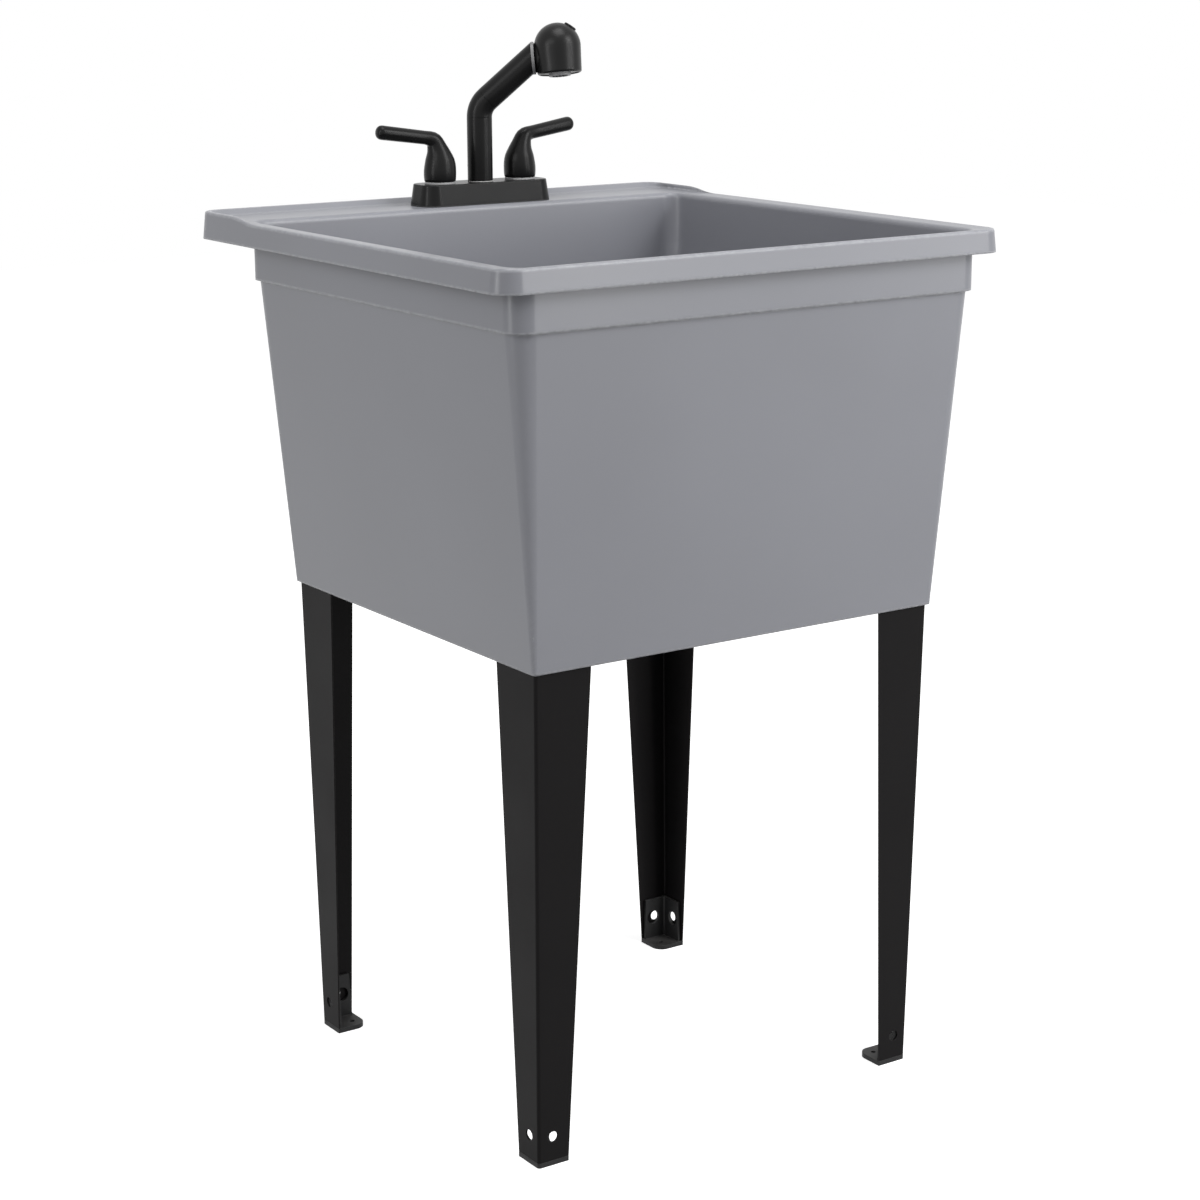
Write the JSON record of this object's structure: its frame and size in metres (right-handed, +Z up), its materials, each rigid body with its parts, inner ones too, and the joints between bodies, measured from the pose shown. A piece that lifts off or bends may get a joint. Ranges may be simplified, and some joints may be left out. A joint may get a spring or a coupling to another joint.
{
  "type": "utility laundry sink",
  "caption": "Free-standing grey plastic laundry sink on black folded steel legs, with a black two-handle faucet and pull-out spray head.",
  "frame": {"origin": "on the floor under the middle of the rim", "axes": "+X to the user's right, +Y to the back (wall) side, +Z up"},
  "size_m": [0.581, 0.6, 1.0662],
  "materials": {
    "tub_plastic": "satin",
    "leg_steel": "satin",
    "foot_plastic": "matte",
    "faucet_black": "satin",
    "light_plastic": "satin",
    "seal_rubber": "matte",
    "drain_steel": "brushed",
    "brass": "satin",
    "white_plastic": "matte",
    "zinc_screw": "satin"
  },
  "bodies": {
    "stand": {"cold_bonnet_nut": "brass", "cold_cartridge": "white_plastic", "cold_seat_ring": "light_plastic", "cold_shank_nut": "white_plastic", "deck_gasket": "seal_rubber", "drain_flange": "drain_steel", "drain_gasket": "seal_rubber", "drain_locknut": "white_plastic", "drain_tailpiece": "white_plastic", "drain_washer": "white_plastic", "faucet_base": "faucet_black", "hot_bonnet_nut": "brass", "hot_cartridge": "white_plastic", "hot_seat_ring": "light_plastic", "hot_shank_nut": "white_plastic", "leg_back_left": "leg_steel", "leg_back_right": "leg_steel", "leg_front_left": "leg_steel", "leg_front_right": "leg_steel", "leg_screws": "zinc_screw", "spout_bush": "white_plastic", "spout_seals": "seal_rubber", "spout_shank_nut": "white_plastic", "tailpiece_nut": "white_plastic", "tailpiece_washer": "seal_rubber", "tub": "tub_plastic", "waterway": "brass"},
    "hot_control": {"hot_handle": "faucet_black", "hot_stem": "brass", "hot_handle_screw": "zinc_screw", "hot_cap": "faucet_black"},
    "cold_control": {"cold_handle": "faucet_black", "cold_stem": "brass", "cold_handle_screw": "zinc_screw", "cold_cap": "faucet_black"},
    "spout_arm": {"spout": "faucet_black", "spout_keeper": "zinc_screw", "spout_guide": "light_plastic"},
    "spray_head": {"spray_body": "faucet_black", "spray_face": "light_plastic", "spray_connector": "brass"},
    "spray_switch": {"spray_button": "faucet_black"},
    "stopper": {"drain_stopper": "seal_rubber"},
    "foot_fl": {"foot_front_left": "foot_plastic"},
    "foot_fr": {"foot_front_right": "foot_plastic"},
    "foot_bl": {"foot_back_left": "foot_plastic"},
    "foot_br": {"foot_back_right": "foot_plastic"}
  },
  "joints": [
    {"name": "hot_handle_turn", "type": "hinge", "parent": "stand", "child": "hot_control", "pos_m": [-0.0233, 0.251, 0.918], "axis": [0, 0, 1], "range_deg": [0, 90]},
    {"name": "cold_handle_turn", "type": "hinge", "parent": "stand", "child": "cold_control", "pos_m": [0.0783, 0.251, 0.918], "axis": [0, 0, 1], "range_deg": [-90, 0]},
    {"name": "spout_swivel", "type": "hinge", "parent": "stand", "child": "spout_arm", "pos_m": [0.0275, 0.251, 0.918], "axis": [0, 0, 1], "range_deg": [-110, 10]},
    {"name": "spray_pull", "type": "slide", "parent": "spout_arm", "child": "spray_head", "axis": [0.6154, -0.4309, 0.66], "range_m": [0, 0.3]},
    {"name": "spray_switch_press", "type": "slide", "parent": "spray_head", "child": "spray_switch", "axis": [-0.5108, 0.2238, -0.8301], "range_m": [0, 0.002], "stiffness_N_per_m": 400, "springref_m": -0.002},
    {"name": "stopper_lift", "type": "slide", "parent": "stand", "child": "stopper", "axis": [0, 0, 1], "range_m": [0, 0.06]},
    {"name": "foot_slide_fl", "type": "slide", "parent": "stand", "child": "foot_fl", "axis": [0.0099, 0.0225, -0.9997], "range_m": [0, 0.02]},
    {"name": "foot_slide_fr", "type": "slide", "parent": "stand", "child": "foot_fr", "axis": [-0.0099, 0.0225, -0.9997], "range_m": [0, 0.02]},
    {"name": "foot_slide_bl", "type": "slide", "parent": "stand", "child": "foot_bl", "axis": [0.0099, -0.0225, -0.9997], "range_m": [0, 0.02]},
    {"name": "foot_slide_br", "type": "slide", "parent": "stand", "child": "foot_br", "axis": [-0.0099, -0.0225, -0.9997], "range_m": [0, 0.02]}
  ]
}
